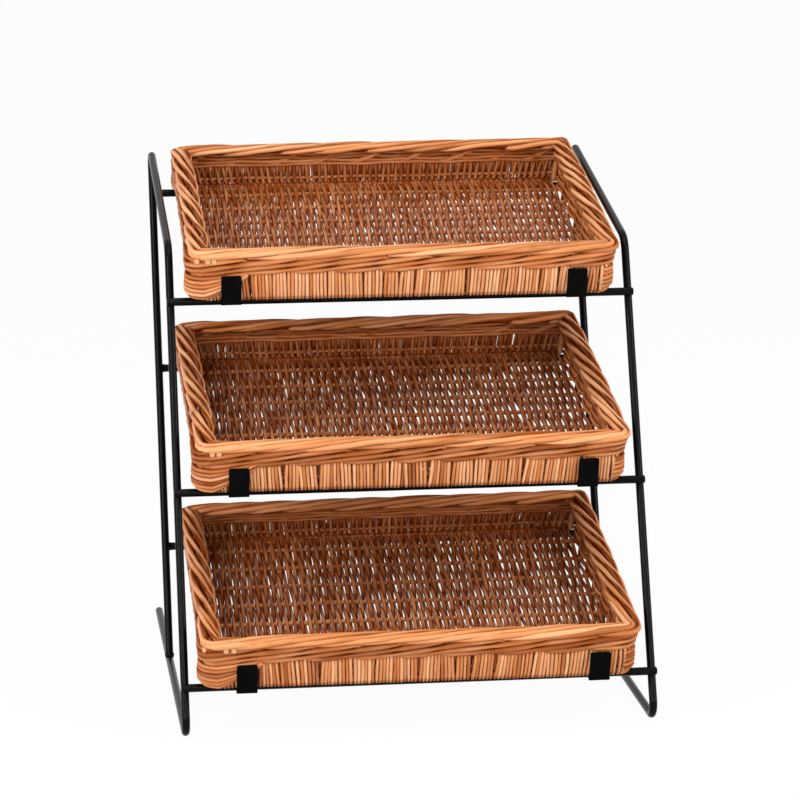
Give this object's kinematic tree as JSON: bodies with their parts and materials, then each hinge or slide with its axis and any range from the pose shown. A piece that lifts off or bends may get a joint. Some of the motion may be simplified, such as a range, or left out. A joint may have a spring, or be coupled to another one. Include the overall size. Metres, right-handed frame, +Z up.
{
  "type": "bakery bread rack",
  "caption": "Counter rack of welded black steel rod with sloping tiers, each holding a shallow lift-off woven willow basket against bent clips.",
  "frame": {"origin": "on the counter, midway between the two side frames, at the corner where the front posts' lines meet the floor rails", "axes": "+X to the customer's right when facing the rack's front, +Y to the rear, +Z up"},
  "size_m": [0.4698, 0.5008, 0.5247],
  "materials": {
    "black_rod": "black powder coat, satin",
    "black_clip": "black powder coat, matt",
    "willow_weave": "boiled and peeled willow rods, dull sheen",
    "willow_border": "boiled and peeled willow rods, dull sheen",
    "willow_sticks": "boiled and peeled willow sticks, dull sheen"
  },
  "bodies": {
    "stand": {"left_side_frame": "black_rod", "right_side_frame": "black_rod", "bottom_front_bar": "black_rod", "bottom_rear_bar": "black_rod", "bottom_left_clip": "black_clip", "bottom_right_clip": "black_clip", "middle_front_bar": "black_rod", "middle_rear_bar": "black_rod", "middle_left_clip": "black_clip", "middle_right_clip": "black_clip", "top_front_bar": "black_rod", "top_rear_bar": "black_rod", "top_left_clip": "black_clip", "top_right_clip": "black_clip"},
    "bottom_basket": {"bottom_basket_base_weave": "willow_weave", "bottom_basket_base_sticks": "willow_sticks", "bottom_basket_front_band": "willow_weave", "bottom_basket_rear_band": "willow_weave", "bottom_basket_left_end_weave": "willow_weave", "bottom_basket_right_end_weave": "willow_weave", "bottom_basket_corner_sticks": "willow_sticks", "bottom_basket_waling": "willow_weave", "bottom_basket_border": "willow_border"},
    "middle_basket": {"middle_basket_base_weave": "willow_weave", "middle_basket_base_sticks": "willow_sticks", "middle_basket_front_band": "willow_weave", "middle_basket_rear_band": "willow_weave", "middle_basket_left_end_weave": "willow_weave", "middle_basket_right_end_weave": "willow_weave", "middle_basket_corner_sticks": "willow_sticks", "middle_basket_waling": "willow_weave", "middle_basket_border": "willow_border"},
    "top_basket": {"top_basket_base_weave": "willow_weave", "top_basket_base_sticks": "willow_sticks", "top_basket_front_band": "willow_weave", "top_basket_rear_band": "willow_weave", "top_basket_left_end_weave": "willow_weave", "top_basket_right_end_weave": "willow_weave", "top_basket_corner_sticks": "willow_sticks", "top_basket_waling": "willow_weave", "top_basket_border": "willow_border"}
  },
  "joints": [
    {"name": "bottom_basket_lift", "type": "slide", "parent": "stand", "child": "bottom_basket", "axis": [0, -0.1977, 0.9803], "range_m": [0, 0.09]},
    {"name": "middle_basket_lift", "type": "slide", "parent": "stand", "child": "middle_basket", "axis": [0, -0.1977, 0.9803], "range_m": [0, 0.09]},
    {"name": "top_basket_lift", "type": "slide", "parent": "stand", "child": "top_basket", "axis": [0, -0.1977, 0.9803], "range_m": [0, 0.15]}
  ]
}
